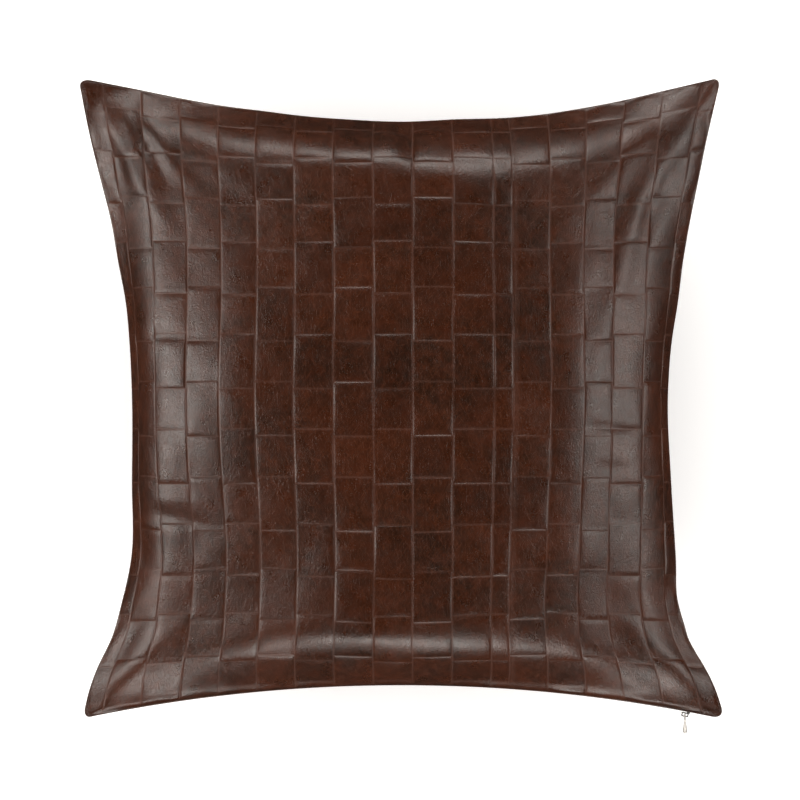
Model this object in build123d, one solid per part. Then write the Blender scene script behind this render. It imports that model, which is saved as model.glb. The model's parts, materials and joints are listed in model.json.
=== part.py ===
from build123d import *
import math
import os

# Throw pillow: an embossed leather cover with a concealed zip in one edge, over a cotton insert.
# Millimetres. The pillow lies on its back, +Z up. The origin is on the surface it rests on, below the
# middle of the pillow. The embossed front looks up, and the zip edge is at -Y.

# ---- driving dimensions -------------------------------------------------------------------------
SEAM_Z = 75.0               # height of the seam plane above the rest face
FRONT_RISE = 77.0           # crown of the front above the seam plane
LEATHER = 1.3               # thickness of the leather
TURNING = 8.0               # width of the seam turnings inside the cover

SIDE_MID = 214.0            # seam to centre line, middle of the left and right edges
TOP_MID = 220.5             # the same, middle of the top edge
ZIP_MID = 229.5             # the same, middle of the zip edge
CORNER_X = 257.0            # where two edges would meet without the rounded tip
CORNER_Y = 256.5
TIP_R = 9.0                 # rounding of the corner tips
CORNER_SHARE = 2.5          # what lies inside is set in this much more at the shallow corners

ZIP_START_X = -224.0        # left end of the zip
SLIDER_X = 226.5            # middle of the slider when the zip is closed
ZIP_END_X = 238.0           # right end of the opening
SLIT = 1.5                  # half height of the slit between the leather lips
TAPE = 0.5                  # thickness of a zip tape
TAPE_EDGE = 8.0             # height of a tape's far edge above the seam plane
TAPE_IN = 3.3               # outer face of a tape at the slit, from the seam line
WALL_LEAN = 0.45            # how much the tapes lean inwards per millimetre of height
COIL_TOP = 2.5              # outer height of a coil above the seam plane
COIL_DEEP = 5.9             # inner face of the coils, from the seam line
THREAD = 0.6                # thickness of the sewing threads
STITCH_UP = 6.0             # height of the tapes' stitching above the seam plane
STITCH_END_X = 150.0        # end of that stitching each way, where the corners start to narrow
NARROW_IN = 0.2             # how much thinner the tapes are beyond that

NECK = 0.5                  # half thickness of the slider's neck, which runs in the slit
SLIDER_LONG = 9.0           # length of the slider along the zip
SLIDER_WALL = 1.0           # thickness of the slider's back plate and flanges
SLIDER_GAP = 0.3            # clearance between the slider and the coils
FOOT_OUT = 0.7              # inner face of the slider's outside plate, out from the seam line
FOOT_WALL = 0.9             # thickness of that plate
LOOP_OUT = 4.2              # far end of the loop that holds the pull, out from the seam line
LOOP_BAR = 0.8              # thickness of the loop's bars
LOOP_HALF = 2.8             # half length of the loop along the zip
PIVOT_OUT = 2.5             # pull's pivot, out from the seam line
PULL_LONG = 15.0            # pull, from its pivot to its tip
EYE_BAR = 0.55              # half thickness of the pull's eye
EYE_HALF = 2.0              # half width of the eye
EYE_END = 3.9               # far end of the eye's hole, from the pivot
EYE_HOLE = 1.0              # half width of the eye's hole
TOP_STOP = 2.0              # length of the top stops along the zip
TOP_STOP_GAP = 5.5          # from the middle of the closed slider to the top stops
STOP_LOW = 0.9              # height of a top stop's lower face above the seam plane
BOTTOM_STOP = 2.5           # length of the bottom stop along the zip
COIL_MESH = 0.05            # half the gap between the two coils

INSERT_CLEAR = 9.0          # gap between the seam line and the insert's seam
INSERT_DROP = 3.0           # gap between the crown of the cover and the insert
COTTON = 0.8                # thickness of the insert's casing
INSERT_THREAD = 0.4         # thickness of the thread that closes the insert
FILL_CLEAR = 0.3            # gap between the casing and its filling

# Pull's drop: distance from the pivot, half thickness along the zip, half width across it.
DROP = [
    (4.4, 0.6, 1.5),
    (6.0, 0.75, 1.5),
    (9.0, 1.2, 2.1),
    (11.5, 1.65, 2.7),
    (13.2, 1.6, 2.6),
    (14.4, 1.1, 1.8),
    (PULL_LONG, 0.4, 0.7),
]

# Crown of a half: height, inset of the middle of each edge, inset of the corners, corner radius.
# Heights are shares of the crown's height.
CROWN = [
    (0.00, 0.0, 0.0, TIP_R),
    (0.09, 1.4, 6.0, 10.0),
    (0.18, 3.0, 17.0, 17.0),
    (0.42, 13.0, 50.0, 42.0),
    (0.63, 25.0, 76.0, 62.0),
    (0.80, 45.0, 103.0, 80.0),
    (0.92, 75.0, 134.0, 85.0),
    (1.00, 118.0, 175.0, 60.0),
]


def arc_radius(chord_half, rise):
    """Radius of the arc whose half chord and rise are given."""
    return (chord_half**2 + rise**2) / (2 * rise)


# The zip edge bows in along one arc, whose centre lies outside the pillow.
ZIP_RADIUS = arc_radius(CORNER_X, CORNER_Y - ZIP_MID)
ZIP_CENTRE_Y = -ZIP_MID - ZIP_RADIUS


def outline(height, inset=0.0, side_in=0.0, corner_in=0.0, radius=TIP_R):
    """A four-sided face with bowed edges and rounded corners, at a height, set in by an amount."""
    x = CORNER_X - corner_in - CORNER_SHARE * inset
    y = CORNER_Y - corner_in - CORNER_SHARE * inset
    side_in = side_in + inset
    corners = [(-x, -y), (x, -y), (x, y), (-x, y)]
    middles = [
        (0, -ZIP_MID + side_in),
        (SIDE_MID - side_in, 0),
        (0, TOP_MID - side_in),
        (-SIDE_MID + side_in, 0),
    ]
    edges = []
    for i in range(4):
        edges.append(ThreePointArc(corners[i], middles[i], corners[(i + 1) % 4]))
    face = Face(Wire(edges))
    face = fillet(face.vertices(), radius)
    return Pos(0, 0, height) * face


def crown(low, high, inset=0.0, down=False):
    """A closed half pillow between two heights over the seam plane, its edges set in by an amount."""
    sign = -1 if down else 1
    sections = []
    for share, side_in, corner_in, radius in CROWN:
        height = SEAM_Z + sign * (low + share * (high - low))
        sections.append(outline(height, inset, side_in, corner_in, radius))
    return loft(sections)


def ring(outer_inset, inner_inset, low, high):
    """A band that follows the seam line, between two insets and two heights above the seam plane."""
    outer = outline(SEAM_Z + low, outer_inset)
    inner = outline(SEAM_Z + low, inner_inset)
    return extrude(outer, high - low, dir=(0, 0, 1)) - extrude(inner, high - low, dir=(0, 0, 1))


def zip_angle(x):
    """Angle about the zip arc's centre of the point of the arc at x, positive towards +X."""
    return math.degrees(math.asin(x / ZIP_RADIUS))


def along_zip(section, start_x, end_x):
    """Sweep a section along the zip arc. Section points: inward from the seam line, above its plane."""
    points = [(0, ZIP_CENTRE_Y + ZIP_RADIUS + inward, SEAM_Z + up) for inward, up in section]
    face = Face(Polyline(*points, close=True).wire())
    span = zip_angle(end_x) - zip_angle(start_x)
    axis = Axis((0, ZIP_CENTRE_Y, 0), (0, 0, 1))
    swept = revolve(face, axis=axis, revolution_arc=span)
    return Pos(0, ZIP_CENTRE_Y, 0) * Rot(0, 0, -zip_angle(end_x)) * Pos(0, -ZIP_CENTRE_Y, 0) * swept


def flipped(points):
    """The same section on the other side of the seam plane."""
    return [(inward, -up) for inward, up in points]


def lean(inward, up):
    """A point moved inwards as far as the wall of the cover leans in at its height."""
    return (inward + WALL_LEAN * (up - SLIT), up)


# ---- cover --------------------------------------------------------------------------------------
def zip_zone():
    """The slit between the leather lips, from outside the seam line to well inside it."""
    out = -2 * LEATHER
    inside = 2 * TURNING
    section = [(out, -SLIT), (inside, -SLIT), (inside, SLIT), (out, SLIT)]
    return along_zip(section, ZIP_START_X, ZIP_END_X)


def cover_panel(rise, down):
    """One leather panel: a shell with its edges turned in flat, except along the zip."""
    shell = crown(0, rise, down=down) - crown(LEATHER, rise - LEATHER, inset=LEATHER, down=down)
    inside = outline(SEAM_Z - 2 * LEATHER, TURNING)
    shell = shell - extrude(inside, 4 * LEATHER, dir=(0, 0, 1))
    return shell - zip_zone() - seam_groove()


def seam_groove():
    """The seam's thread as a whole ring, half in each panel's turnings."""
    return ring(LEATHER, LEATHER + THREAD, -THREAD / 2, THREAD / 2)


def seam_thread():
    """The thread that joins the panels, in the turnings, on all but the zip's length."""
    return seam_groove() - zip_zone()


# ---- zip ----------------------------------------------------------------------------------------
def tape(down):
    """One tape, just inside its panel, and narrower at both ends, where the corners narrow."""
    wide = [lean(TAPE_IN, SLIT), lean(TAPE_IN + TAPE, SLIT), lean(TAPE_IN + TAPE, TAPE_EDGE),
            lean(TAPE_IN, TAPE_EDGE)]
    narrow = [(TAPE_IN + NARROW_IN, SLIT), (TAPE_IN + TAPE, SLIT), lean(TAPE_IN + TAPE, COIL_TOP),
              lean(TAPE_IN + NARROW_IN, COIL_TOP)]
    if down:
        wide = flipped(wide)
        narrow = flipped(narrow)
    middle = along_zip(wide, -STITCH_END_X, STITCH_END_X)
    left = along_zip(narrow, ZIP_START_X + 1, -STITCH_END_X)
    right = along_zip(narrow, STITCH_END_X, ZIP_END_X - 1)
    return left + middle + right


def coil(bottom):
    """Section of one coil, sewn against the inner face of its tape."""
    face = TAPE_IN + TAPE
    return [(face, bottom), (face, SLIT), lean(face, COIL_TOP), (COIL_DEEP, COIL_TOP), (COIL_DEEP, bottom)]


def tape_stitching(down):
    """The thread that holds a tape to its panel, lying on the tape's inner face."""
    face = TAPE_IN + TAPE
    low, high = STITCH_UP, STITCH_UP + THREAD
    back = face + THREAD / 2
    section = [lean(face, low), lean(back, low), lean(back, high), lean(face, high)]
    section = flipped(section) if down else section
    return along_zip(section, -STITCH_END_X, STITCH_END_X)


def slider_place():
    """Place and turn of the slider when the zip is closed."""
    angle = zip_angle(SLIDER_X)
    y = ZIP_CENTRE_Y + math.sqrt(ZIP_RADIUS**2 - SLIDER_X**2)
    return Pos(SLIDER_X, y, SEAM_Z) * Rot(0, 0, -angle)


def block(x0, x1, inward0, inward1, up0, up1):
    """A block in the slider's own axes: along the zip, inward from the seam line, above its plane."""
    box = Box(x1 - x0, inward1 - inward0, up1 - up0)
    return Pos((x0 + x1) / 2, (inward0 + inward1) / 2, (up0 + up1) / 2) * box


def zip_slider():
    """Back plate and side flanges behind the coils, neck through the slit, plate and loop outside."""
    half = SLIDER_LONG / 2
    back = COIL_DEEP + SLIDER_GAP
    inner = COIL_TOP + SLIDER_GAP
    side = COIL_TOP + SLIDER_WALL
    bury = SLIDER_WALL / 2
    corner = 1.6
    plate = block(-half, half, back, back + SLIDER_WALL, -side, side)
    plate = fillet(plate.edges().filter_by(Axis.Y), corner)
    upper = block(-half + corner, half - corner, back - SLIDER_WALL, back + bury, inner, side)
    lower = block(-half + corner, half - corner, back - SLIDER_WALL, back + bury, -side, -inner)
    neck = block(1.2, 3.6, -FOOT_OUT - bury, back + bury, -NECK, NECK)
    foot = block(-3.4, 3.6, -FOOT_OUT - FOOT_WALL, -FOOT_OUT, -1.4, 1.4)
    foot = fillet(foot.edges().filter_by(Axis.Y), 1.0)
    loop = block(-LOOP_HALF, LOOP_HALF, -LOOP_OUT, -FOOT_OUT - bury, -0.6, 0.6)
    loop = fillet(loop.edges().filter_by(Axis.Z).sort_by(Axis.Y)[:2], LOOP_BAR)
    hole = LOOP_HALF - LOOP_BAR
    loop = loop - block(-hole, hole, -LOOP_OUT + LOOP_BAR, -FOOT_OUT - FOOT_WALL, -2, 2)
    return slider_place() * (plate + upper + lower + neck + foot + loop)


def pull_place():
    """The pull hangs square to the row's axes from its pivot in the slider's loop."""
    pivot = slider_place() * Pos(0, -PIVOT_OUT, 0)
    return Pos(pivot.position)


def zip_pull():
    """Drop-shaped pull: an eye round the slider's loop, and a drop that swells towards its end."""
    root = 1.0
    eye = block(-EYE_BAR, EYE_BAR, -EYE_END - root, EYE_BAR, -EYE_HALF, EYE_HALF)
    eye = fillet(eye.edges().filter_by(Axis.X), 0.5)
    eye = eye - block(-2, 2, -EYE_END, -EYE_BAR, -EYE_HOLE, EYE_HOLE)
    sections = []
    for out, half_x, half_z in DROP:
        plane = Plane(origin=(0, -out, 0), x_dir=(1, 0, 0), z_dir=(0, -1, 0))
        sections.append(plane * Ellipse(half_x, half_z))
    drop = loft(sections)
    return pull_place() * (eye + drop)


def top_stops():
    """Two metal clamps at the closed end, one on each tape."""
    stop = coil(STOP_LOW)
    x0 = SLIDER_X + TOP_STOP_GAP
    x1 = x0 + TOP_STOP
    return Compound(children=[along_zip(stop, x0, x1), along_zip(flipped(stop), x0, x1)])


def bottom_stop():
    """One clamp across both coils at the far end of the zip."""
    face = TAPE_IN + TAPE
    upper = [(face, SLIT), lean(face, COIL_TOP), (COIL_DEEP, COIL_TOP)]
    lower = flipped(reversed(upper))
    x0 = ZIP_START_X + 1.0
    return along_zip(upper + lower, x0, x0 + BOTTOM_STOP)


# ---- insert -------------------------------------------------------------------------------------
def casing_panel(rise, down):
    """One cotton panel of the insert."""
    outer = crown(0, rise - INSERT_DROP, inset=INSERT_CLEAR, down=down)
    inner = crown(0, rise - INSERT_DROP - COTTON, inset=INSERT_CLEAR + COTTON, down=down)
    return outer - inner - insert_thread()


def insert_thread():
    """The thread that closes the insert, half in each casing panel."""
    half = INSERT_THREAD / 2
    first = INSERT_CLEAR + half
    return ring(first, first + INSERT_THREAD, -half, half)


def insert_fill():
    """The filling, one soft mass that fills the casing."""
    inset = INSERT_CLEAR + COTTON + FILL_CLEAR
    drop = INSERT_DROP + COTTON + FILL_CLEAR
    return crown(0, FRONT_RISE - drop, inset=inset) + crown(0, SEAM_Z - drop, inset=inset, down=True)


# ---- the pieces ---------------------------------------------------------------------------------
COIL_START_X = ZIP_START_X + 1.0 + BOTTOM_STOP + 0.1    # just past the bottom stop
COIL_END_X = SLIDER_X                                   # the coils part inside the closed slider
PIECES = {
    "front_panel": cover_panel(FRONT_RISE, False),
    "back_panel": cover_panel(SEAM_Z, True),
    "seam_thread": seam_thread(),
    "zip_tape_front": tape(False),
    "zip_tape_back": tape(True),
    "zip_coil_front": along_zip(coil(COIL_MESH), COIL_START_X, COIL_END_X),
    "zip_coil_back": along_zip(flipped(coil(COIL_MESH)), COIL_START_X, COIL_END_X),
    "zip_stitching_front": tape_stitching(False),
    "zip_stitching_back": tape_stitching(True),
    "zip_top_stops": top_stops(),
    "zip_bottom_stop": bottom_stop(),
    "zip_slider": zip_slider(),
    "zip_pull": zip_pull(),
    "insert_casing_front": casing_panel(FRONT_RISE, False),
    "insert_casing_back": casing_panel(SEAM_Z, True),
    "insert_seam_thread": insert_thread(),
    "insert_fill": insert_fill(),
}

os.makedirs("parts", exist_ok=True)
for node, shape in PIECES.items():
    export_step(shape, f"parts/{node}.step")
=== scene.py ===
import json
import math

import bpy
import numpy as np
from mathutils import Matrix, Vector


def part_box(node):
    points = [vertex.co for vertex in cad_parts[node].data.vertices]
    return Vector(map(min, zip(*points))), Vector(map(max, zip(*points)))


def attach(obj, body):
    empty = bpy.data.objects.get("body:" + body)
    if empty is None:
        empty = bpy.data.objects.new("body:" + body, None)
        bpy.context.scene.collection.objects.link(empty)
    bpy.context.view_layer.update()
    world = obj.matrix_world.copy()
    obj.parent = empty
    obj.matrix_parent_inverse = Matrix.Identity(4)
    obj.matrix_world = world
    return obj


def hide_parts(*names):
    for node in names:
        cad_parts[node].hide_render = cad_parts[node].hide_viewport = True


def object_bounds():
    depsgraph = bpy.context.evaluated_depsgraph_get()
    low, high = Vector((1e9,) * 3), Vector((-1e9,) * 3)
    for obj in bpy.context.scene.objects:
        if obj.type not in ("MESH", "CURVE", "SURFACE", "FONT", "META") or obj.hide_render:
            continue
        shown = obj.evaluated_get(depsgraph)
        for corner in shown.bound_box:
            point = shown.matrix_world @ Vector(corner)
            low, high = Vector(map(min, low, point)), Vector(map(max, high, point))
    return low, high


# Throw pillow: two embossed leather panels, sewn together and closed by a concealed zip, over a cotton
# insert. Metres, in the CAD frame: the pillow lies on its back, its front looks up, its zip edge is at -Y.

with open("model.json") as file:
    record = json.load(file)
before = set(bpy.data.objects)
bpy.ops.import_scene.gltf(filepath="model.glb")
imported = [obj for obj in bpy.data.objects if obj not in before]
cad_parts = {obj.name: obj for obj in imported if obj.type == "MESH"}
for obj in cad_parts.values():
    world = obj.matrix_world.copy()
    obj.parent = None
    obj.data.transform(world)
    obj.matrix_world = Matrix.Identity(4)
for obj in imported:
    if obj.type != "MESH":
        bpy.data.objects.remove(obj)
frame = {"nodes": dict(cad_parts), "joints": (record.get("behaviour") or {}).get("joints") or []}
cad_low, cad_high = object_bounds()
bpy.ops.object.select_all(action="DESELECT")
MM = 0.001

# ---- places from the frame ----------------------------------------------------------------------
joints = {joint["name"]: joint for joint in frame["joints"]}
SEAM_Z = joints["zip_travel"]["pos_m"][2]               # the plane of the seam
FRONT_RISE = cad_high.z - SEAM_Z                        # crown of the front above it
BACK_DROP = SEAM_Z - cad_low.z                          # and of the back below it
ZIP_CENTRE = Vector(joints["zip_travel"]["pos_m"])      # centre of the arc that the zip edge follows
STOP_LOW_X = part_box("zip_bottom_stop")[0].x             # the zip's two ends
STOP_HIGH_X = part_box("zip_top_stops")[1].x
ZIP_MID_Y = -0.2295                                     # middle of the zip edge
ZIP_RADIUS = ZIP_MID_Y - ZIP_CENTRE.y

# ---- cover: sizes -------------------------------------------------------------------------------
CUT = 508 * MM              # side of each square panel, flat, seam to seam
HALF = CUT / 2
CORNER_R = 9 * MM           # rounding of the corner tips
LEATHER = 1.2 * MM          # thickness of the leather
LIP = 1.1 * MM              # rise of the fold where a panel turns in at the seam
SLIT = 0.75 * MM            # half the gap between the lips' outer walls; the inner ones come nearer
BLANK_CELLS = 48            # squares along a side of the simulated blank
BLANK_FRAMES = 56           # steps that it takes to come to rest
FILLED = 0.0205             # volume that it is blown up to, in cubic metres
FRONT_SPARE = 0.5 * MM      # crown of the leather over the CAD's, in front
BACK_SPARE = 4 * MM         # and behind, where it is pressed flat on what it lies on

# Seam line round the pillow: stations along an edge, and how far the seam is from the centre line there.
LEFT_EDGE = [(-256, 254.5), (-227, 247), (-211, 240.5), (-195, 232.5), (-163, 223), (-131, 216), (-66, 215),
             (0, 215), (44, 217), (76, 220), (108, 226), (140, 231.5), (172, 239.5), (204, 247.5), (256, 258)]
RIGHT_EDGE = [(-256, 258), (-227, 248), (-211, 239.5), (-195, 230), (-179, 225), (-163, 220.5), (-131, 219),
              (-66, 215), (0, 212.5), (44, 215.5), (76, 220.5), (108, 224.5), (140, 230), (172, 236.5),
              (204, 243), (256, 255)]
TOP_EDGE = [(-258, 255), (-205, 244.5), (-173, 238), (-142, 232.5), (-110, 228.5), (-78, 224.5), (-46, 222),
            (0, 220), (46, 222), (82, 223), (114, 226), (146, 231), (177, 237), (209, 244.5), (258, 256)]

# Where flat places across the middle of the front come to lie, left to right and zip to top, and how
# high they stand across it, as shares of the crown. RISING is a share of the crown, not millimetres.
ACROSS = [(-254, -215), (-236.2, -209.3), (-205.6, -195.8), (-175, -171), (-144.4, -144.5), (0, 0),
          (145.4, 144.7), (176, 167.1), (206.6, 191.8), (237.2, 206.9), (254, 212.5)]
RISING = [(-254, 0.0), (-236.2, 0.21), (-205.6, 0.53), (-175, 0.74), (-144.4, 0.885), (-100, 0.96), (0, 1.0),
          (100, 0.96), (145.4, 0.875), (176, 0.71), (206.6, 0.49), (237.2, 0.20), (254, 0.0)]
UPWARD = [(-254, -229.5), (-231, -219), (-207.9, -205.4), (-176.7, -178.2), (-134.5, -137.6), (0, 0),
          (159.1, 158.3), (190.3, 186), (215, 204), (254, 220)]


def line_through(stations, x):
    """A smooth line through given stations, read at x. Stations are in millimetres, x in metres."""
    xs = np.array([s[0] for s in stations]) * MM
    ys = np.array([s[1] for s in stations]) * MM
    slope = np.gradient(ys, xs)
    k = np.clip(np.searchsorted(xs, x) - 1, 0, len(xs) - 2)
    width = xs[k + 1] - xs[k]
    t = np.clip((x - xs[k]) / width, 0, 1)
    start = (1 + 2 * t) * (1 - t) ** 2 * ys[k] + t * (1 - t) ** 2 * width * slope[k]
    end = t * t * (3 - 2 * t) * ys[k + 1] + t * t * (t - 1) * width * slope[k + 1]
    return start + end


def ease(x, low, high):
    """0 below low, 1 above high, and a smooth rise between."""
    t = np.clip((x - low) / (high - low), 0, 1)
    return t * t * (3 - 2 * t)


# ---- cover: the blank, sewn and filled ----------------------------------------------------------
def read_points(piece):
    """The points of a mesh, one row each."""
    points = np.empty(len(piece.data.vertices) * 3, np.float32)
    piece.data.vertices.foreach_get("co", points)
    return points.reshape(-1, 3).astype(float)


def sewn_blank():
    """Two square sheets joined round their edges, a little apart in the middle."""
    bpy.ops.mesh.primitive_grid_add(x_subdivisions=BLANK_CELLS, y_subdivisions=BLANK_CELLS, size=CUT)
    blank = bpy.context.object
    bpy.ops.object.mode_set(mode="EDIT")
    bpy.ops.mesh.select_all(action="SELECT")
    bpy.ops.mesh.duplicate()
    bpy.ops.mesh.flip_normals()
    bpy.ops.transform.translate(value=(0, 0, -10 * MM))
    bpy.ops.object.mode_set(mode="OBJECT")
    points = read_points(blank)
    side = np.where(points[:, 2] < -5 * MM, -1.0, 1.0)
    points[:, 2] = side * 6 * MM * (1 - (points[:, 0] / HALF) ** 2) * (1 - (points[:, 1] / HALF) ** 2)
    blank.data.vertices.foreach_set("co", points.ravel())
    bpy.ops.object.mode_set(mode="EDIT")
    bpy.ops.mesh.select_all(action="SELECT")
    bpy.ops.mesh.remove_doubles(threshold=0.01 * MM)
    bpy.ops.object.mode_set(mode="OBJECT")
    return blank


def fill_blank(blank):
    """Blow the blank up to the volume of a full insert, as cloth, and keep the shape it comes to."""
    cloth = blank.modifiers.new("Filling", "CLOTH")
    leather = cloth.settings
    leather.quality = 5
    leather.mass = 0.3
    leather.tension_stiffness = 40
    leather.compression_stiffness = 40
    leather.shear_stiffness = 20
    leather.bending_stiffness = 1
    leather.tension_damping = 25
    leather.compression_damping = 25
    leather.shear_damping = 25
    leather.bending_damping = 0.5
    leather.air_damping = 8
    leather.use_pressure = True
    leather.uniform_pressure_force = 0
    leather.use_pressure_volume = True
    leather.target_volume = FILLED
    leather.pressure_factor = 3
    leather.effector_weights.gravity = 0
    cloth.collision_settings.use_collision = False
    cloth.point_cache.frame_end = BLANK_FRAMES
    for step in range(1, BLANK_FRAMES + 1):
        bpy.context.scene.frame_set(step)
    bpy.context.view_layer.objects.active = blank
    bpy.ops.object.modifier_apply(modifier=cloth.name)


def simulated_halves():
    """Front and back of the filled blank, as square arrays of points by their places in the flat cut."""
    blank = sewn_blank()
    flat = read_points(blank)
    fill_blank(blank)
    full = read_points(blank)
    bpy.data.objects.remove(blank)
    i = np.rint((flat[:, 0] / CUT + 0.5) * BLANK_CELLS).astype(int)
    j = np.rint((flat[:, 1] / CUT + 0.5) * BLANK_CELLS).astype(int)
    rim = (i == 0) | (i == BLANK_CELLS) | (j == 0) | (j == BLANK_CELLS)
    halves = []
    for side in (1, -1):
        grid = np.zeros((BLANK_CELLS + 1, BLANK_CELLS + 1, 3))
        mine = rim | (side * flat[:, 2] > 0)
        grid[i[mine], j[mine]] = full[mine]
        halves.append(grid)
    return halves


def softened(height, sigma, axis):
    """Heights over the square evened out along one direction; they stay zero at the seam."""
    cells = BLANK_CELLS
    reach = int(3 * sigma / (CUT / cells)) + 1
    steps = np.arange(-reach, reach + 1)
    weight = np.exp(-((steps * CUT / cells / sigma) ** 2) / 2)
    weight /= weight.sum()
    h = np.moveaxis(height, axis, 0)
    before = 2 * h[:1] - h[reach:0:-1]
    after = 2 * h[-1:] - h[-2:-reach - 2:-1]
    long = np.concatenate([before, h, after])
    out = sum(w * long[k:k + cells + 1] for k, w in enumerate(weight))
    return np.moveaxis(out, 0, axis)


PLAN_SOFT = 26 * MM         # how far uneven places in the simulated plan are evened out
SOFT_ACROSS = 20 * MM       # how far the shoulders round over, left to right
SOFT_UPWARD = 7 * MM        # and towards the zip and the top
TIP_X = 257 * MM            # half width of the seam outline at its corner tips
TIP_Y = 256.5 * MM          # and half height


def fitted(grid, rise, sign):
    """The simulated half brought to the seam line, the crown and the places across the middle."""
    share = np.linspace(-1, 1, BLANK_CELLS + 1)
    u, v = np.meshgrid(share, share, indexing="ij")
    edge_x, edge_y = share * TIP_X, share * TIP_Y
    flat = np.stack([u, v], -1) * HALF
    shift = [softened(softened(grid[..., k] - flat[..., k], PLAN_SOFT, 0), PLAN_SOFT, 1) for k in (0, 1)]
    left = np.stack([-line_through(LEFT_EDGE, edge_y), edge_y], 1)
    right = np.stack([line_through(RIGHT_EDGE, edge_y), edge_y], 1)
    top = np.stack([edge_x, line_through(TOP_EDGE, edge_x)], 1)
    low = np.stack([edge_x, ZIP_CENTRE.y + np.sqrt(ZIP_RADIUS**2 - edge_x**2)], 1)
    corners = {}
    for name, a, b in (("ll", left[0], low[0]), ("lh", left[-1], top[0]),
                       ("hl", right[0], low[-1]), ("hh", right[-1], top[-1])):
        corners[name] = np.array([a[0], b[1]])
    for i, j, name in ((0, 0, "ll"), (0, -1, "lh"), (-1, 0, "hl"), (-1, -1, "hh")):
        (left if i == 0 else right)[j] = corners[name]
        (low if j == 0 else top)[i] = corners[name]
    shift[0] = (shift[0] - shift[0][::-1] + shift[0][:, ::-1] - shift[0][::-1, ::-1]) / 4
    shift[1] = (shift[1] + shift[1][::-1] - shift[1][:, ::-1] - shift[1][::-1, ::-1]) / 4
    plan = flat + np.stack(shift, -1)
    near_left, near_right = ((1 - u) / 2) ** 4, ((1 + u) / 2) ** 4
    near_low, near_top = ((1 - v) / 2) ** 4, ((1 + v) / 2) ** 4
    moved = near_left[..., None] * (left - plan[0])[None, :]
    moved += near_right[..., None] * (right - plan[-1])[None, :]
    moved += near_low[..., None] * (low - plan[:, 0])[:, None]
    moved += near_top[..., None] * (top - plan[:, -1])[:, None]
    for i, j, name, near in ((0, 0, "ll", near_left * near_low), (0, -1, "lh", near_left * near_top),
                             (-1, 0, "hl", near_right * near_low), (-1, -1, "hh", near_right * near_top)):
        moved -= near[..., None] * (corners[name] - plan[i, j])
    plan = plan + moved
    middle = BLANK_CELLS // 2
    across = line_through(ACROSS, share * HALF) - plan[:, middle, 0]
    upward = line_through(UPWARD, share * HALF) - plan[middle, :, 1]
    plan[..., 0] += across[:, None] * (1 - v**2)
    plan[..., 1] += upward[None, :] * (1 - u**2)
    height = sign * grid[..., 2]
    height = softened(height, SOFT_ACROSS, 0)
    height = softened(height, SOFT_UPWARD, 1)
    height[0, :] = height[-1, :] = height[:, 0] = height[:, -1] = 0
    height = np.maximum(height, 0) / height[middle, middle]
    inner = np.clip(share, -0.95, 0.95)
    wanted = line_through(RISING, inner * HALF) / MM    # shares again: line_through reads millimetres
    found = np.interp(inner, share, height[:, middle])
    height = height * (1 + (wanted / found - 1)[:, None] * np.sqrt(1 - v**2))
    height = height * rise
    return np.concatenate([plan, height[..., None]], -1)


def read_at(grid, u, v):
    """Smooth reading of a square array of points at flat places u and v, in metres from the middle."""
    n = grid.shape[0] - 1
    pad = np.concatenate([2 * grid[:1] - grid[1:2], grid, 2 * grid[-1:] - grid[-2:-1]])
    pad = np.concatenate([2 * pad[:, :1] - pad[:, 1:2], pad, 2 * pad[:, -1:] - pad[:, -2:-1]], 1)

    def shares(x):
        along = np.clip((x / CUT + 0.5) * n, 0, n - 1e-9)
        k = along.astype(int)
        f = along - k
        return k, [(-f + 2 * f**2 - f**3) / 2, (2 - 5 * f**2 + 3 * f**3) / 2,
                   (f + 4 * f**2 - 3 * f**3) / 2, (-f**2 + f**3) / 2]

    i, along_u = shares(u)
    j, along_v = shares(v)
    out = 0
    for a in range(4):
        for b in range(4):
            out = out + (along_u[a] * along_v[b])[..., None] * pad[i + a, j + b]
    return out


# ---- cover: the embossing -----------------------------------------------------------------------
COLUMN = 30.6 * MM          # width of a column of tiles
NARROW_LOW = 69.8 * MM      # the narrow column's two sides
NARROW_HIGH = 84.2 * MM
ROW = 73.4 * MM             # one tall and one short tile
ROW_START = -8.8 * MM       # middle of a tall tile in an odd column, of a short one in an even column
TALL = 21.1 * MM            # half height of a tall tile
SHORT = 15.6 * MM           # half height of a short tile
GROOVE_WIDE = 0.72 * MM     # half width of a pressed line
GROOVE_DEEP = 0.42 * MM
STEP = 0.13 * MM            # tall tiles stand this much proud, short ones lie as much lower
DOME = 0.38 * MM            # rise of a tile's middle
TILT = 0.028                # most that a tile leans either way, as a slope

COLUMN_LINES = np.array(sorted([NARROW_LOW - COLUMN * k for k in range(12)]
                               + [NARROW_HIGH + COLUMN * k for k in range(7)]))
NARROW_INDEX = int(np.argmin(abs(COLUMN_LINES - NARROW_LOW)))


def tile_of(u, v):
    """For flat places: column and row numbers, how far across and along the tile, its size, and whether
    it is a tall one."""
    column = np.clip(np.searchsorted(COLUMN_LINES, u) - 1, 0, len(COLUMN_LINES) - 2)
    after = column > NARROW_INDEX
    odd = np.where(after, (column - NARROW_INDEX) % 2 == 1, (NARROW_INDEX - column) % 2 == 0)
    odd = odd & (column != NARROW_INDEX)
    half = np.where(odd, TALL, SHORT)
    turn = np.floor((v - ROW_START + half) / ROW)
    along = v - ROW_START - turn * ROW
    first = along < half
    height = np.where(first, 2 * half, ROW - 2 * half)
    along = np.where(first, along, along - ROW / 2)
    row = 2 * turn + np.where(first, 0, 1)
    width = COLUMN_LINES[column + 1] - COLUMN_LINES[column]
    across = u - COLUMN_LINES[column] - width / 2
    return column, row.astype(int), across, along, width, height, height > ROW / 2


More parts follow.
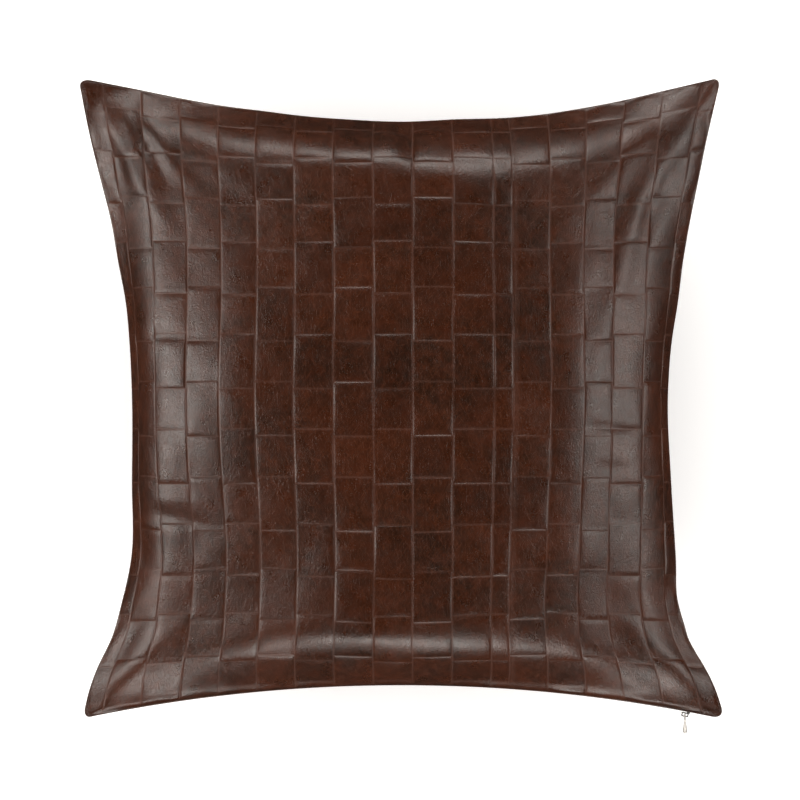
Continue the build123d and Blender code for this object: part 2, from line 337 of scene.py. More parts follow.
def embossing(u, v, seed):
    """Height of the embossed face over the flat leather, how deep in a line each place is, and a painted
    lightness for each tile: painted light and shade, each tile's colour made lighter or darker at random in
    place of the light that its lean catches."""
    column, row, across, along, width, height, tall = tile_of(u, v)
    draw = np.random.default_rng(seed).random((4, 40, 40))
    # the third draw is painted light and shade: a random lightness for each tile, standing in for how much
    # light the tile's lean catches
    lean_u, lean_v, tile_painted_light, press = (d[column % 40, row % 40] for d in draw)
    side = width / 2 - abs(across)
    end = height / 2 - abs(along)
    line_u = np.exp(-((side / GROOVE_WIDE) ** 2)) * (0.8 + 0.35 * cloudy(u, v, 22 * MM, seed + 1))
    line_v = np.exp(-((end / GROOVE_WIDE) ** 2)) * (0.45 + 0.4 * press)
    second = np.exp(-(((u - NARROW_HIGH - 2.4 * MM) / GROOVE_WIDE) ** 2)) * 0.7
    line = np.clip(np.maximum(np.maximum(line_u, line_v), second), 0, 1.2)
    inside = ease(side, 0, 3 * MM) * ease(end, 0, 2.2 * MM)
    face = np.where(tall, STEP, -STEP) * ease(side, 0, 1.4 * MM) * ease(end, -0.3 * MM, 0.5 * MM)
    face = face + DOME * (1 - (2 * across / width) ** 2) * (1 - (2 * along / height) ** 2)
    face = face + TILT * ((2 * lean_u - 1) * across + (2 * lean_v - 1) * along) * inside
    return face - GROOVE_DEEP * line, np.clip(line, 0, 1), tile_painted_light


def cloudy(u, v, size, seed):
    """Smooth unevenness from -1 to 1, whose patches are about the given size."""
    count = int(1.2 * CUT / size) + 3
    lattice = np.random.default_rng(seed).random((count, count)) * 2 - 1
    a, b = (u / size + count / 2) % (count - 1), (v / size + count / 2) % (count - 1)
    i, j = a.astype(int), b.astype(int)
    s, t = ease(a - i, 0, 1), ease(b - j, 0, 1)
    low = lattice[i, j] * (1 - s) + lattice[i + 1, j] * s
    high = lattice[i, j + 1] * (1 - s) + lattice[i + 1, j + 1] * s
    return low * (1 - t) + high * t


# ---- cover: folds ---------------------------------------------------------------------------------
# Each fold in the leather: its course across the panel in millimetres, how high it stands (dents are
# negative) and how wide it is.
FRONT_FOLDS = [
    ([(4, 222), (8, 178)], -3.2, 7),
    ([(-16, 222), (-14, 190)], 1.6, 8),
    ([(26, 222), (24, 190)], 1.4, 8),
    ([(-246, 243), (-200, 158), (-178, 118)], 2.6, 9),
    ([(-226, 240), (-206, 190), (-190, 160)], 2.0, 5),
    ([(-212, 236), (-176, 178), (-150, 150)], 1.8, 6),
    ([(-236, 215), (-214, 150)], -2.2, 7),
    ([(-210, 214), (-182, 160)], -1.6, 5),
    ([(-175, 185), (-90, 133)], -1.4, 10),
    ([(250, 246), (190, 158), (150, 10)], 2.6, 10),
    ([(206, 222), (114, 121)], 2.0, 14),
    ([(222, 196), (176, 96)], -2.4, 10),
    ([(-205, -92), (-142, -102)], -2.0, 6),
    ([(-202, -78), (-150, -84)], 1.2, 6),
    ([(-206, 52), (-160, 46)], -1.5, 6),
    ([(142, -22), (196, -27)], -1.6, 4),
    ([(150, -54), (190, -58)], -1.2, 5),
    ([(-246, -244), (-196, -196), (-150, -165)], 2.2, 10),
    ([(-238, -222), (-190, -150)], -1.8, 8),
    ([(-222, -240), (-150, -205)], -1.8, 8),
    ([(250, -246), (200, -196), (156, -160)], 2.4, 10),
    ([(240, -222), (196, -140)], -2.0, 9),
    ([(226, -240), (160, -206)], -1.8, 8),
]

BACK_FOLDS = [
    ([(-248, 244), (-196, 176), (-150, 140)], 2.4, 10),
    ([(-226, 238), (-160, 196)], -1.8, 8),
    ([(248, 244), (190, 190), (140, 160)], 2.4, 10),
    ([(238, 220), (186, 150)], -1.9, 9),
    ([(-248, -244), (-186, -178)], 2.2, 10),
    ([(-236, -212), (-196, -140)], -1.6, 8),
    ([(248, -246), (196, -176), (172, -120)], 2.4, 10),
    ([(222, -238), (150, -200)], -1.7, 8),
    ([(-12, 222), (-6, 176)], -2.4, 7),
    ([(-208, 24), (-158, 12)], -1.6, 6),
    ([(206, -34), (152, -22)], -1.6, 6),
]


def folded(x, y, folds):
    """Height of the folds over the smooth leather at places on a panel."""
    out = np.zeros_like(x)
    for course, rise, width in folds:
        near = np.full_like(x, 1.0)
        share = np.zeros_like(x)
        legs = list(zip(course, course[1:]))
        lengths = [math.dist(a, b) for a, b in legs]
        done = 0.0
        for (a, b), length in zip(legs, lengths):
            ax, ay, bx, by = a[0] * MM, a[1] * MM, b[0] * MM, b[1] * MM
            along = ((x - ax) * (bx - ax) + (y - ay) * (by - ay)) / (length * MM) ** 2
            along = np.clip(along, 0, 1)
            away = np.hypot(x - ax - along * (bx - ax), y - ay - along * (by - ay))
            closer = away < near
            near = np.where(closer, away, near)
            share = np.where(closer, (done + along * length) / sum(lengths), share)
            done += length
        wide = width * MM * (1.1 - 0.3 * share)
        shape = np.exp(-((near / wide) ** 2)) - 0.3 * np.exp(-((near / (2.2 * wide)) ** 2))
        out += rise * MM * shape * ease(share, -0.02, 0.25) * (1 - ease(share, 0.5, 1.02))
    return out


# ---- cover: a panel -------------------------------------------------------------------------------
ROLL = 1.4 * MM             # length of the fold where a panel turns in at the seam
SEWN_GAP = 0.06 * MM        # half the gap between the panels where they are sewn
OPENS = (-230 * MM, -224 * MM)      # where the lips begin to part at the zip's left end, and are apart
CLOSES = (237 * MM, 242 * MM)       # and where they come together at its right end
ZIP_BULGE = 7 * MM          # how much fuller the cover stands over the zip's tapes
PUCKER = 0.9 * MM           # height of the puckers along the seam
RIM_LINES = [-9, -6.5, -4.5, -3, -1.8, -0.9, -0.3, 0, 0.35, 0.7, 1.05, 1.4, 2.8]


def panel_lines(pressed, near, gap):
    """Places of a panel's grid lines: close together at each pressed line and at the rim, and evenly
    spaced between them."""
    rim = [HALF + r * MM for r in RIM_LINES]
    lines = [-r for r in reversed(rim)] + rim
    inner = [p for p in pressed if abs(p) < HALF - 12 * MM]
    for place in inner:
        lines += [place + step * MM for step in near]
    lines = sorted(lines)
    filled = [lines[0]]
    for line in lines[1:]:
        room = line - filled[-1]
        parts = max(1, round(room / gap)) if room > 1.6 * gap else 1
        start = filled[-1]
        filled += [start + room * k / parts for k in range(1, parts + 1)]
    kept = [filled[0]]
    for line in filled[1:]:
        if line - kept[-1] > 0.25 * MM:
            kept.append(line)
    return np.array(kept)


def rounded_cut(u, v):
    """Flat places moved so that the corners are rounded: the new places, the distance outside the seam,
    the nearest place on the seam, and the way inwards from it."""
    start = HALF - CORNER_R
    reach = CORNER_R + (RIM_LINES[-1] * MM)
    du, dv = abs(u) - start, abs(v) - start
    corner = (du > 0) & (dv > 0)
    a = np.where(corner, du * np.sqrt(np.maximum(1 - (dv / reach) ** 2 / 2, 0)), du)
    b = np.where(corner, dv * np.sqrt(np.maximum(1 - (du / reach) ** 2 / 2, 0)), dv)
    far = np.hypot(a, b)
    outside = np.where(corner, far - CORNER_R, np.maximum(abs(u), abs(v)) - HALF)
    out = np.maximum(outside, 0)
    safe = np.maximum(far, 1e-9)
    way_a = np.where(corner, a / safe, np.where(abs(u) >= abs(v), 1.0, 0.0))
    way_b = np.where(corner, b / safe, np.where(abs(u) >= abs(v), 0.0, 1.0))
    sign_u, sign_v = np.where(u < 0, -1.0, 1.0), np.where(v < 0, -1.0, 1.0)
    new_u, new_v = sign_u * (start + a), sign_v * (start + b)
    rim_u, rim_v = new_u - sign_u * way_a * out, new_v - sign_v * way_b * out
    return new_u, new_v, outside, rim_u, rim_v, -sign_u * way_a, -sign_v * way_b


def unit(vectors):
    """Vectors of length 1."""
    return vectors / np.maximum(np.linalg.norm(vectors, axis=-1, keepdims=True), 1e-12)


def panel(name, half, sign, folds, seed):
    """One leather panel, from its flat cut: shaped, folded, embossed and turned in at the seam."""
    row_lines = [ROW_START + ROW * k + s * h for k in range(-5, 6) for s in (-1, 1) for h in (TALL, SHORT)]
    us = panel_lines(COLUMN_LINES, (-1.9, -1.0, -0.45, 0, 0.45, 1.0, 1.9), 3.6 * MM)
    vs = panel_lines(row_lines, (-1.4, -0.65, 0, 0.65, 1.4), 3.6 * MM)
    u0, v0 = np.meshgrid(us, vs, indexing="ij")
    u, v, outside, rim_u, rim_v, in_u, in_v = rounded_cut(u0, v0)
    place = read_at(half, rim_u, rim_v)
    inside = np.maximum(-outside, 0)
    square = np.maximum(HALF - np.maximum(abs(rim_u), abs(rim_v)), 1e-9)
    place[..., 2] = np.maximum(place[..., 2], 0) * np.clip(inside / square, 0, 1)
    low_edge = np.exp(-np.maximum(rim_v + HALF, 0) / (9 * MM))
    place[..., 2] += ZIP_BULGE * low_edge * ease(inside, 0, 6 * MM) * ease(HALF - abs(rim_u), 0, 45 * MM)
    place[..., 2] = np.hypot(place[..., 2], LIP)
    on_zip = (abs(in_v) > 0.7) & (rim_v < 0)
    opening = on_zip * ease(place[..., 0], *OPENS) * (1 - ease(place[..., 0], *CLOSES))
    fade = ease(inside, 0.5 * MM, 5 * MM)
    wave = np.cos(2 * math.pi * np.where(abs(in_v) > 0.5, rim_u - NARROW_LOW, rim_v - ROW_START) / COLUMN)
    pucker = PUCKER * (0.6 * wave + 0.7 * cloudy(rim_u, rim_v, 14 * MM, seed + 5))
    pucker = pucker * np.exp(-inside / (13 * MM)) * fade
    uneven = 0.9 * MM * cloudy(u, v, 62 * MM, seed + 6) + 0.35 * MM * cloudy(u, v, 21 * MM, seed + 7)
    fine = 0.07 * MM * cloudy(u, v, 5.5 * MM, seed + 8)
    relief, line, tile_painted_light = embossing(u, v, seed)
    normal = unit(np.cross(np.gradient(place, axis=0), np.gradient(place, axis=1)))
    swell = pucker + (uneven + folded(place[..., 0], place[..., 1], folds)) * ease(inside, 2 * MM, 25 * MM)
    shaped = place + normal * swell[..., None]
    normal = unit(np.cross(np.gradient(shaped, axis=0), np.gradient(shaped, axis=1)))
    shaped = shaped + normal * ((relief + fine) * fade)[..., None]
    gap = SEWN_GAP + (SLIT - SEWN_GAP) * opening
    turn = np.clip(outside / ROLL, 0, 1) * math.pi / 2
    inward = 0.75 * MM * (1 - np.cos(turn)) + np.maximum(outside - ROLL, 0)
    rolled = np.stack([place[..., 0] + in_u * inward, place[..., 1] + in_v * inward,
                       gap + (LIP - gap) * (1 - np.sin(turn))], -1)
    points = np.where((outside > 0)[..., None], rolled, shaped)
    points[..., 2] = SEAM_Z + sign * points[..., 2]
    if sign < 0:
        points[..., 2] = rest_flat(points[..., 2])
    count_u, count_v = len(us), len(vs)
    bpy.ops.mesh.primitive_grid_add(x_subdivisions=count_u - 1, y_subdivisions=count_v - 1, size=1)
    piece = bpy.context.object
    piece.name = piece.data.name = name
    flat = read_points(piece)
    i = np.rint((flat[:, 0] + 0.5) * (count_u - 1)).astype(int)
    j = np.rint((flat[:, 1] + 0.5) * (count_v - 1)).astype(int)
    piece.data.vertices.foreach_set("co", points[i, j].astype(np.float32).ravel())
    cut = piece.data.attributes.new("cut", "FLOAT_VECTOR", "POINT")
    cut.data.foreach_set("vector", np.stack([u, v, u * 0 + sign], -1)[i, j].astype(np.float32).ravel())
    # the "tile" attribute carries that painted light and shade for each tile
    for title, values in (("pressed", line * fade), ("tile", tile_painted_light)):
        mark = piece.data.attributes.new(title, "FLOAT", "POINT")
        mark.data.foreach_set("value", values[i, j].astype(np.float32))
    piece.data.update()
    if sign < 0:
        bpy.ops.object.mode_set(mode="EDIT")
        bpy.ops.mesh.select_all(action="SELECT")
        bpy.ops.mesh.flip_normals()
        bpy.ops.object.mode_set(mode="OBJECT")
    wall = piece.modifiers.new("Thickness", "SOLIDIFY")
    wall.thickness = LEATHER
    wall.offset = -1
    bpy.ops.object.modifier_apply(modifier=wall.name)
    bpy.ops.object.shade_smooth()
    return piece


def rest_flat(z):
    """Heights of the back, kept on the surface it lies on, with a soft start to the flat patch."""
    soft = 1.5 * MM
    return (z + np.sqrt(z**2 + soft**2)) / 2


# ---- materials ------------------------------------------------------------------------------------
def colour(text):
    """A hex sRGB colour as linear numbers."""
    parts = [int(text[k:k + 2], 16) / 255 for k in (1, 3, 5)]
    return [p / 12.92 if p <= 0.04045 else ((p + 0.055) / 1.055) ** 2.4 for p in parts] + [1.0]


def add(tree, kind, inputs=None, **settings):
    """Add a node with its settings, values and links."""
    made = tree.nodes.new("ShaderNode" + kind)
    for name, value in settings.items():
        setattr(made, name, value)
    for socket, value in (inputs or {}).items():
        if isinstance(value, bpy.types.NodeSocket):
            tree.links.new(value, made.inputs[socket])
        else:
            made.inputs[socket].default_value = value
    return made


def new_material(name):
    """An empty node material with its shader."""
    material = bpy.data.materials.new(name)
    material.use_nodes = True
    return material, material.node_tree, material.node_tree.nodes["Principled BSDF"]


def set_values(shader, **values):
    """Constant values straight on the shader's sockets."""
    for name, value in values.items():
        shader.inputs[name.replace("_", " ").title().replace("Ior", "IOR")].default_value = value


def embossed_leather():
    """Pull-up cowhide, vegetable dyed dark brown, waxed and plate embossed: pebbled, a soft gloss, redder
    and paler where it is creased, scratched or pressed."""
    material, tree, shader = new_material("pull_up_leather_embossed")
    cut = add(tree, "Attribute", attribute_name="cut").outputs["Vector"]
    pressed = add(tree, "Attribute", attribute_name="pressed").outputs["Fac"]
    tile = add(tree, "Attribute", attribute_name="tile").outputs["Fac"]
    # dye: clouds about 60 mm across, and blotches of 9 mm
    clouds = add(tree, "TexNoise", {"Vector": cut, "Scale": 16, "Detail": 3, "Roughness": 0.55})
    blotch = add(tree, "TexNoise", {"Vector": cut, "Scale": 110, "Detail": 5, "Roughness": 0.65})
    clouds = add(tree, "MapRange", {0: clouds.outputs[0], 1: 0.38, 2: 0.62})
    blotch = add(tree, "MapRange", {0: blotch.outputs[0], 1: 0.42, 2: 0.68})
    dark = add(tree, "Mix", {0: clouds.outputs[0], 6: colour("#261207"), 7: colour("#361809")},
               data_type="RGBA")
    red = add(tree, "Math", {0: blotch.outputs[0], 1: 0.45}, operation="MULTIPLY")
    dyed = add(tree, "Mix", {0: red.outputs[0], 6: dark.outputs[2], 7: colour("#4c2210")}, data_type="RGBA")
    # hairline creases: cracks between cells of about 7 mm, bent, and only here and there
    bend = add(tree, "TexNoise", {"Vector": cut, "Scale": 160, "Detail": 3})
    bent = add(tree, "VectorMath", {0: bend.outputs["Color"], 3: 0.006}, operation="SCALE")
    bent = add(tree, "VectorMath", {0: bent.outputs[0], 1: cut})
    cracks = add(tree, "TexVoronoi", {"Vector": bent.outputs[0], "Scale": 140}, feature="DISTANCE_TO_EDGE")
    crack = add(tree, "MapRange", {0: cracks.outputs["Distance"], 1: 0.045, 2: 0.0})
    where = add(tree, "TexNoise", {"Vector": cut, "Scale": 34, "Detail": 2})
    where = add(tree, "MapRange", {0: where.outputs[0], 1: 0.5, 2: 0.66})
    crease = add(tree, "Math", {0: crack.outputs[0], 1: where.outputs[0]}, operation="MULTIPLY")
    # scratches and fibre marks: streaks 0.6 mm by 10 mm, three ways
    streaks = []
    for turn, shift in ((0.45, 0.0), (-0.6, 0.31), (0.05, 0.77)):
        turned = add(tree, "Mapping", {"Vector": cut, "Rotation": (0, 0, turn), "Location": (shift, 0, 0),
                                       "Scale": (0.0006, 0.010, 1)}, vector_type="TEXTURE")
        streak = add(tree, "TexNoise", {"Vector": turned.outputs[0], "Scale": 1, "Detail": 3,
                                        "Distortion": 0.6})
        streaks.append(add(tree, "MapRange", {0: streak.outputs[0], 1: 0.54, 2: 0.76}).outputs[0])
    scratch = add(tree, "Math", {0: streaks[0], 1: streaks[1]}, operation="MAXIMUM")
    scratch = add(tree, "Math", {0: scratch.outputs[0], 1: streaks[2]}, operation="MAXIMUM")
    marks = add(tree, "Math", {0: crease.outputs[0], 1: scratch.outputs[0]}, operation="MAXIMUM")
    worn = add(tree, "Math", {0: marks.outputs[0], 1: 0.3}, operation="MULTIPLY")
    marked = add(tree, "Mix", {0: worn.outputs[0], 6: dyed.outputs[2], 7: colour("#74442e")},
                 data_type="RGBA")
    # pressed lines: the wax is squeezed out, so they are paler
    pale = add(tree, "Math", {0: pressed, 1: 0.4}, operation="MULTIPLY")
    lined = add(tree, "Mix", {0: pale.outputs[0], 6: marked.outputs[2], 7: colour("#5e3626")},
                data_type="RGBA")
    # painted light and shade: each tile's colour is made up to 14 % lighter or darker, in place of the light
    # that its lean catches
    tile_painted_light = add(tree, "MapRange", {0: tile, 3: 0.86, 4: 1.14})
    final = add(tree, "VectorMath", {0: lined.outputs[2], 3: tile_painted_light.outputs[0]}, operation="SCALE")
    tree.links.new(final.outputs[0], shader.inputs["Base Color"])
    # gloss: uneven wax
    wax = add(tree, "TexNoise", {"Vector": cut, "Scale": 60, "Detail": 4})
    rough = add(tree, "MapRange", {0: wax.outputs[0], 1: 0.3, 2: 0.7, 3: 0.25, 4: 0.36})
    dull = add(tree, "Math", {0: pressed, 1: 0.25, 2: rough.outputs[0]}, operation="MULTIPLY_ADD")
    tree.links.new(dull.outputs[0], shader.inputs["Roughness"])
    # grain: pebbles of 1.4 mm, drawn a little coarse so that they show, and finer skin pores
    pebbles = add(tree, "TexVoronoi", {"Vector": bent.outputs[0], "Scale": 700}, feature="SMOOTH_F1")
    pores = add(tree, "TexNoise", {"Vector": cut, "Scale": 1500, "Detail": 3})
    grain = add(tree, "Math", {0: pebbles.outputs["Distance"], 1: -0.7}, operation="MULTIPLY")
    grain = add(tree, "Math", {0: grain.outputs[0], 1: pores.outputs[0]})
    grain = add(tree, "Math", {0: marks.outputs[0], 1: -0.3, 2: grain.outputs[0]}, operation="MULTIPLY_ADD")
    bump = add(tree, "Bump", {"Strength": 0.9, "Distance": 0.00022, "Height": grain.outputs[0]})
    tree.links.new(bump.outputs[0], shader.inputs["Normal"])
    set_values(shader, ior=1.5, coat_weight=0.06, coat_roughness=0.25, specular_ior_level=0.45)
    return material


def polished_metal(name, tint, roughness, wear):
    """Nickel plate, tumbled and buffed: bright, with faint rubbed patches."""
    material, tree, shader = new_material(name)
    place = add(tree, "TexCoord").outputs["Object"]
    rub = add(tree, "TexNoise", {"Vector": place, "Scale": 500, "Detail": 4})
    rough = add(tree, "MapRange", {0: rub.outputs[0], 1: 0.35, 2: 0.7, 3: roughness, 4: roughness + wear})
    tree.links.new(rough.outputs[0], shader.inputs["Roughness"])
    bump = add(tree, "Bump", {"Strength": 0.15, "Distance": 0.00002, "Height": rub.outputs[0]})
    tree.links.new(bump.outputs[0], shader.inputs["Normal"])
    set_values(shader, base_color=colour(tint), metallic=1.0)
    return material


def woven(name, tint, light, threads, rough):
    """Plain weave: crossing threads at their real spacing, with slubs."""
    material, tree, shader = new_material(name)
    place = add(tree, "TexCoord").outputs["Object"]
    warp = add(tree, "TexWave", {"Vector": place, "Scale": threads / math.tau, "Distortion": 0.3},
               bands_direction="X")
    weft = add(tree, "TexWave", {"Vector": place, "Scale": threads / math.tau, "Distortion": 0.3},
               bands_direction="Y")
    cloth = add(tree, "Math", {0: warp.outputs["Fac"], 1: weft.outputs["Fac"]}, operation="MULTIPLY")
    slub = add(tree, "TexNoise", {"Vector": place, "Scale": 90, "Detail": 3})
    mixed = add(tree, "Math", {0: cloth.outputs[0], 1: slub.outputs[0]}, operation="MULTIPLY")
    tone = add(tree, "Mix", {0: mixed.outputs[0], 6: colour(tint), 7: colour(light)}, data_type="RGBA")
    tree.links.new(tone.outputs[2], shader.inputs["Base Color"])
    bump = add(tree, "Bump", {"Strength": 0.5, "Distance": 0.0001, "Height": cloth.outputs[0]})
    tree.links.new(bump.outputs[0], shader.inputs["Normal"])
    set_values(shader, roughness=rough, sheen_weight=0.2)
    return material


def nylon_filament():
    """Nylon monofilament, wound and heat set: dark, smooth, a little paler where the slider rubs it."""
    material, tree, shader = new_material("nylon_filament")
    place = add(tree, "TexCoord").outputs["Object"]
    rub = add(tree, "TexNoise", {"Vector": place, "Scale": 300, "Detail": 3})
    tone = add(tree, "Mix", {0: rub.outputs[0], 6: colour("#1d0f0a"), 7: colour("#4a2c20")},
               data_type="RGBA")
    tree.links.new(tone.outputs[2], shader.inputs["Base Color"])
    rough = add(tree, "MapRange", {0: rub.outputs[0], 3: 0.3, 4: 0.5})
    tree.links.new(rough.outputs[0], shader.inputs["Roughness"])
    return material


def finish_piece(piece, material, body, slot, *nodes):
    """Give a new piece its material and its body, and hide the CAD nodes it stands for; its finish slot is
    not used.
    """
    piece.data.materials.clear()
    piece.data.materials.append(material)
    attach(piece, body)
    if nodes:
        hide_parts(*nodes)


def recoat(node, material):
    """Give a CAD node that stays in view its material."""
    data = frame["nodes"][node].data
    data.materials.clear()
    data.materials.append(material)


# ---- insert ---------------------------------------------------------------------------------------
INSERT_SHARE = 0.925        # the insert's cut against the cover's


def cotton_insert(front, back):
    """The cotton insert, from the same filled shape, a little smaller all round."""
    piece = sewn_blank()
    piece.name = piece.data.name = "cotton_insert"
    flat = read_points(piece)
    sign = np.where(flat[:, 2] < 0, -1.0, 1.0)
    points = np.empty_like(flat)
    for side, half in ((1, front), (-1, back)):
        mine = sign == side
        u, v = flat[mine, 0], flat[mine, 1]
        points[mine] = read_at(half, INSERT_SHARE * u, INSERT_SHARE * v)
        ripple = 0.8 * MM * cloudy(u, v, 26 * MM, 40 + side)
        height = 0.93 * read_at(half, u, v)[:, 2] + ripple
        points[mine, 2] = np.maximum(height, 0) * (abs(u) < 0.999 * HALF) * (abs(v) < 0.999 * HALF)
    points[:, 2] = SEAM_Z + sign * points[:, 2]
    points[:, 2] = np.maximum(points[:, 2], 3 * MM)
    piece.data.vertices.foreach_set("co", points.astype(np.float32).ravel())
    smooth = piece.modifiers.new("Smooth", "SUBSURF")
    smooth.levels = smooth.render_levels = 1
    bpy.context.view_layer.objects.active = piece
    bpy.ops.object.modifier_apply(modifier=smooth.name)
    bpy.ops.object.shade_smooth()
    return piece


# ---- zip coils and seam stitches -------------------------------------------------------------------
COIL_PITCH = 1.3 * MM       # from turn to turn
FILAMENT = 0.3 * MM         # radius of the nylon filament
COIL_RADIUS = 0.66 * MM     # radius of a turn's centre line
COIL_INWARD = 4.95 * MM     # middle of the turns, inwards from the seam line
COIL_RISE = 1.53 * MM       # and above its plane: the slider's neck passes between the two coils
COIL_LEAN = math.radians(14)    # lean of each turn along the zip, as winding gives it


def wound_coil(name, side, material, node):
    """One coil of the zip: turns of a filament, copied round the centre of the arc of the zip edge."""
    low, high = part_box(node)
    reach = ZIP_RADIUS + COIL_INWARD
    start, end = (math.asin(x / reach) for x in (low.x + FILAMENT, high.x - FILAMENT))
    bpy.ops.object.select_all(action="DESELECT")
    place = (reach * math.sin(start), ZIP_CENTRE.y + reach * math.cos(start), SEAM_Z + side * COIL_RISE)
    bpy.ops.mesh.primitive_torus_add(major_segments=9, minor_segments=5, major_radius=COIL_RADIUS,
                                     minor_radius=FILAMENT, location=place,
                                     rotation=(0, math.pi / 2, side * COIL_LEAN - start))
    coil = bpy.context.object
    coil.name = coil.data.name = name
    bpy.ops.object.transform_apply(location=True, rotation=True, scale=True)
    bpy.ops.object.mode_set(mode="EDIT")
    bpy.ops.mesh.select_all(action="SELECT")
    bpy.ops.mesh.spin(steps=int((end - start) * reach / COIL_PITCH), dupli=True, angle=end - start,
                      center=ZIP_CENTRE, axis=(0, 0, 1))
    bpy.ops.object.mode_set(mode="OBJECT")
    coil.data.shade_smooth()
    finish_piece(coil, material, "pillow", "zip_coil", node)


STITCH_IN = 1.2 * MM        # how deep in the seam the stitches lie


def seam_stitches(half, material):
    """The lock stitches that join the panels: short bars of thread across the seam, one each 3.5 mm."""
    pitch, radius, length = 3.5 * MM, 0.3 * MM, 2.6 * MM
    bpy.ops.mesh.primitive_cylinder_add(vertices=6, radius=radius, depth=length)
    stitch = bpy.context.object
    bpy.ops.object.mode_set(mode="EDIT")
    bpy.ops.mesh.select_all(action="SELECT")
    bpy.ops.mesh.bevel(offset=0.1 * MM, segments=1)
    bpy.ops.object.mode_set(mode="OBJECT")
    share = np.linspace(-HALF, HALF, 600)
    edges = []
    for fixed, swap in ((-HALF, True), (HALF, True), (HALF, False), (-HALF, False)):
        u, v = (np.full(600, fixed), share) if swap else (share, np.full(600, fixed))
        new_u, new_v, outside, rim_u, rim_v, in_u, in_v = rounded_cut(u, v)
        line = read_at(half, rim_u, rim_v)[:, :2]
        edges.append((line, np.stack([in_u, in_v], 1), not swap and fixed < 0))
    places = []
    for line, ways, is_zip in edges:
        run = np.concatenate([[0], np.cumsum(np.linalg.norm(np.diff(line, axis=0), axis=1))])
        for at in np.arange(6 * pitch, run[-1] - 6 * pitch, pitch):
            point = [np.interp(at, run, line[:, k]) for k in (0, 1)]
            way = unit(np.array([np.interp(at, run, ways[:, k]) for k in (0, 1)]))
            if is_zip and STOP_LOW_X - 4 * MM < point[0] < STOP_HIGH_X + 2 * MM:
                continue
            places.append((point[0] + way[0] * STITCH_IN, point[1] + way[1] * STITCH_IN))
    bpy.ops.object.select_all(action="DESELECT")
    for x, y in places:
        copy = stitch.copy()
        copy.data = stitch.data.copy()
        copy.location = (x, y, SEAM_Z)
        bpy.context.scene.collection.objects.link(copy)
        copy.select_set(True)
    bpy.data.objects.remove(stitch)
    bpy.context.view_layer.objects.active = copy
    bpy.ops.object.join()
    bpy.ops.object.transform_apply(location=True, rotation=True, scale=True)
    piece = bpy.context.object
    piece.name = piece.data.name = "seam_stitches"
    finish_piece(piece, material, "pillow", "thread", "seam_thread")


# ---- the pieces -----------------------------------------------------------------------------------
front_half, back_half = simulated_halves()
front_half = fitted(front_half, FRONT_RISE + FRONT_SPARE, 1)
back_half = fitted(back_half, BACK_DROP + BACK_SPARE, -1)

leather = embossed_leather()
front = panel("embossed_front", front_half, 1, FRONT_FOLDS, 11)
finish_piece(front, leather, "pillow", "leather", "front_panel")
back = panel("embossed_back", back_half, -1, BACK_FOLDS, 57)
finish_piece(back, leather, "pillow", "leather_back", "back_panel")

cotton = woven("downproof_cotton", "#b9b3a4", "#e6e1d4", 3200, 0.85)
insert = cotton_insert(front_half, back_half)
finish_piece(insert, cotton, "pillow", "cotton", "insert_casing_front", "insert_casing_back",
             "insert_fill", "insert_seam_thread")

tape_cloth = woven("zip_tape_polyester", "#1c100b", "#3a241a", 2400, 0.8)
thread = woven("bonded_thread", "#1e110b", "#3c2318", 5000, 0.55)
seam_stitches(front_half, thread)
nickel = polished_metal("nickel_plate", "#b9b6b0", 0.22, 0.12)
satin = polished_metal("satin_nickel", "#f1efea", 0.5, 0.1)
coil_nylon = nylon_filament()
wound_coil("zip_coil_wound_front", 1, coil_nylon, "zip_coil_front")
wound_coil("zip_coil_wound_back", -1, coil_nylon, "zip_coil_back")
for node, finish in (("zip_tape_front", tape_cloth), ("zip_tape_back", tape_cloth),
                     ("zip_stitching_front", thread), ("zip_stitching_back", thread),
                     ("zip_top_stops", nickel), ("zip_bottom_stop", nickel),
                     ("zip_slider", nickel), ("zip_pull", satin)):
    recoat(node, finish)


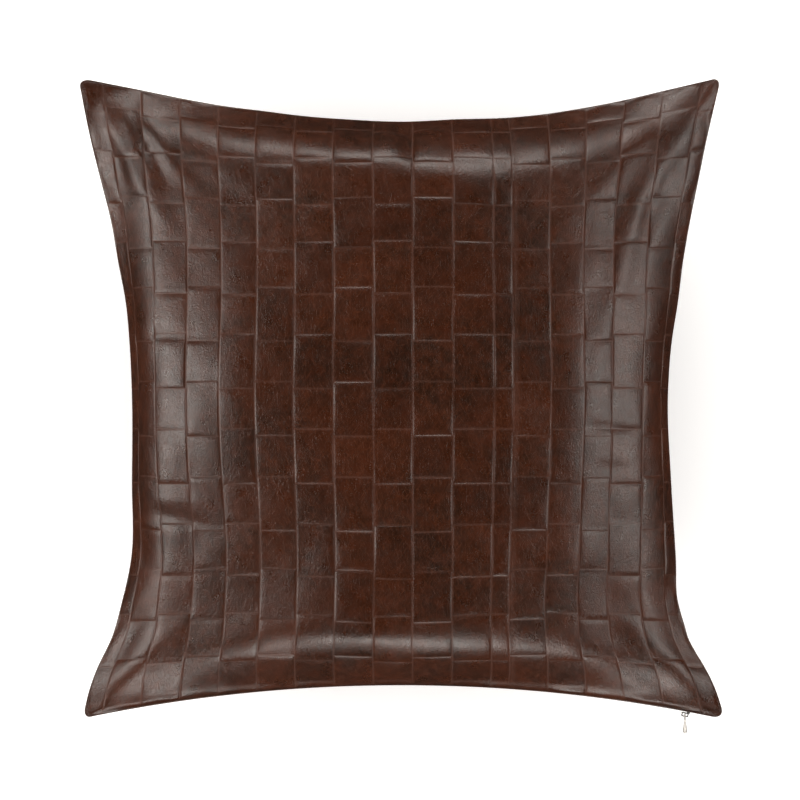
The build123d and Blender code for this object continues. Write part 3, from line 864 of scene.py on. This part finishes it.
# ---- floor, light and camera ----------------------------------------------------------------------
def white_floor():
    """A plain white floor that gives a little light itself. It doesn't show in reflections, which keeps
    its glare off the leather's rims."""
    bpy.ops.mesh.primitive_plane_add(size=60, location=(0, 0, -0.2 * MM))
    floor = bpy.context.object
    floor.name = "floor"
    material, tree, shader = new_material("painted_white_floor")
    set_values(shader, base_color=colour("#f2f2f2"), roughness=0.9)
    floor.data.materials.append(material)
    set_values(shader, emission_color=colour("#ffffff"), emission_strength=0.5)
    floor.visible_glossy = False


def soft_box(name, place, width, height, brightness):
    """A soft box that looks at the middle of the pillow."""
    light = bpy.data.lights.new(name, "AREA")
    light.shape = "RECTANGLE"
    light.size, light.size_y = width, height
    light.color = (1.0, 0.95, 0.90)
    light.energy = brightness * math.pi * width * height
    box = bpy.data.objects.new(name, light)
    box.location = place
    box.rotation_euler = (Vector((0, 0, 0.1)) - Vector(place)).to_track_quat("-Z", "Y").to_euler()
    box.visible_camera = False
    bpy.context.scene.collection.objects.link(box)


LEFT_POWER, RIGHT_POWER, TOP_POWER, ZIP_POWER = 11.0, 7.2, 10.0, 12.0   # brightness of each soft box
white_floor()
soft_box("left_box", (-1.75, 0.0, 0.95), 1.1, 0.8, LEFT_POWER)
soft_box("right_box", (1.75, 0.0, 0.95), 1.1, 0.8, RIGHT_POWER)
soft_box("top_box", (0, 1.8, 0.85), 1.2, 0.7, TOP_POWER)
soft_box("zip_box", (0, -1.8, 0.80), 1.2, 0.6, ZIP_POWER)

world = bpy.data.worlds.new("studio")
bpy.context.scene.world = world
world.use_nodes = True
world.node_tree.nodes["Background"].inputs["Color"].default_value = (1, 1, 1, 1)
world.node_tree.nodes["Background"].inputs["Strength"].default_value = 0.02
bpy.context.scene.view_settings.view_transform = "Standard"

FRAME_WIDE = 0.638          # width of the view at the seam plane
CAMERA_UP = 6.0             # the camera's height over it
camera = bpy.data.cameras.new("camera")
camera.sensor_width = 36
camera.lens = 36 * CAMERA_UP / FRAME_WIDE
camera.clip_end = 100
eye = bpy.data.objects.new("camera", camera)
eye.location = (-1.2 * MM, -2.0 * MM, SEAM_Z + CAMERA_UP)
bpy.context.scene.collection.objects.link(eye)
bpy.context.scene.camera = eye
